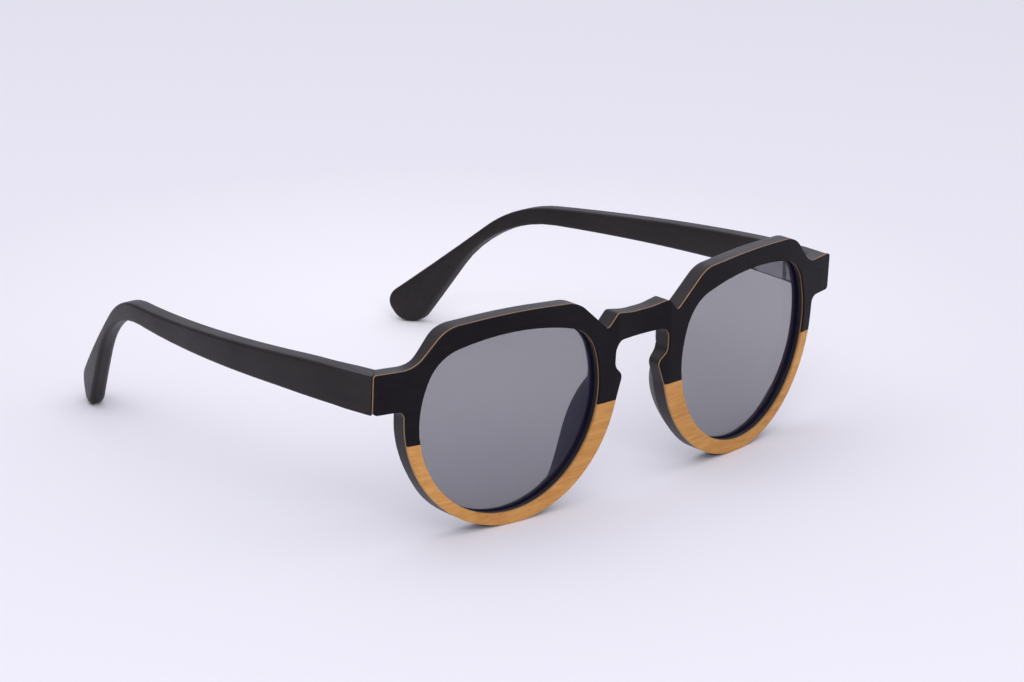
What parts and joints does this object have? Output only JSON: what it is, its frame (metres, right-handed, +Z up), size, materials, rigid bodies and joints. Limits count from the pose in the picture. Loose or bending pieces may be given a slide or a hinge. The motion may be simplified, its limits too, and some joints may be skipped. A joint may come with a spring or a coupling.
{
  "type": "wooden sunglasses",
  "caption": "Laminated wooden sunglasses with a keyhole bridge, stepped brow, two-tone rims, grey tinted lenses and sprung folding temples.",
  "frame": {"origin": "on the table plane, under the middle of the whole width and length", "axes": "+Z up, the front faces -Y and the temples reach back along +Y, +X to the wearer's left"},
  "size_m": [0.148, 0.1368, 0.0479],
  "materials": {
    "dark_wood": "satin oiled ebony-dark wood",
    "dark_veneer": "satin ebony-dark face veneer",
    "tan_veneer": "thin tan accent veneer",
    "honey_veneer": "honey-coloured veneer with fine grain",
    "smoke_lens": "plain grey tint",
    "pad_wood": "satin carved wood",
    "temple_wood": "satin dark wood",
    "hinge_steel": "plain steel"
  },
  "bodies": {
    "front": {"front_frame": "dark_wood", "accent_veneer": "tan_veneer", "brow_veneer": "dark_veneer", "rim_veneer_left": "honey_veneer", "rim_veneer_right": "honey_veneer", "lens_left": "smoke_lens", "lens_right": "smoke_lens", "nose_pad_left": "pad_wood", "nose_pad_right": "pad_wood", "front_hinge_left": "hinge_steel", "front_hinge_right": "hinge_steel", "front_hinge_screws_left": "hinge_steel", "front_hinge_screws_right": "hinge_steel", "hinge_screw_left": "hinge_steel", "hinge_screw_right": "hinge_steel"},
    "carriage_left": {"hinge_carriage_left": "hinge_steel", "hinge_stop_left": "hinge_steel", "hinge_spring_left": "hinge_steel"},
    "temple_left": {"temple_left": "temple_wood", "hinge_housing_left": "hinge_steel", "housing_screws_left": "hinge_steel"},
    "carriage_right": {"hinge_carriage_right": "hinge_steel", "hinge_stop_right": "hinge_steel", "hinge_spring_right": "hinge_steel"},
    "temple_right": {"temple_right": "temple_wood", "hinge_housing_right": "hinge_steel", "housing_screws_right": "hinge_steel"}
  },
  "joints": [
    {"name": "fold_left", "type": "hinge", "parent": "front", "child": "carriage_left", "pos_m": [0.0677, -0.05188, 0.03485], "axis": [0, 0, 1], "range_deg": [0, 81]},
    {"name": "spring_left", "type": "slide", "parent": "carriage_left", "child": "temple_left", "axis": [0.1392, 0.9903, 0], "range_m": [0, 0.0015], "stiffness_N_per_m": 500, "springref_m": -0.004, "deforming": ["hinge_spring_left"]},
    {"name": "fold_right", "type": "hinge", "parent": "front", "child": "carriage_right", "pos_m": [-0.0677, -0.05188, 0.03485], "axis": [0, 0, -1], "range_deg": [0, 75]},
    {"name": "spring_right", "type": "slide", "parent": "carriage_right", "child": "temple_right", "axis": [-0.1392, 0.9903, 0], "range_m": [0, 0.0015], "stiffness_N_per_m": 500, "springref_m": -0.004, "deforming": ["hinge_spring_right"]}
  ]
}
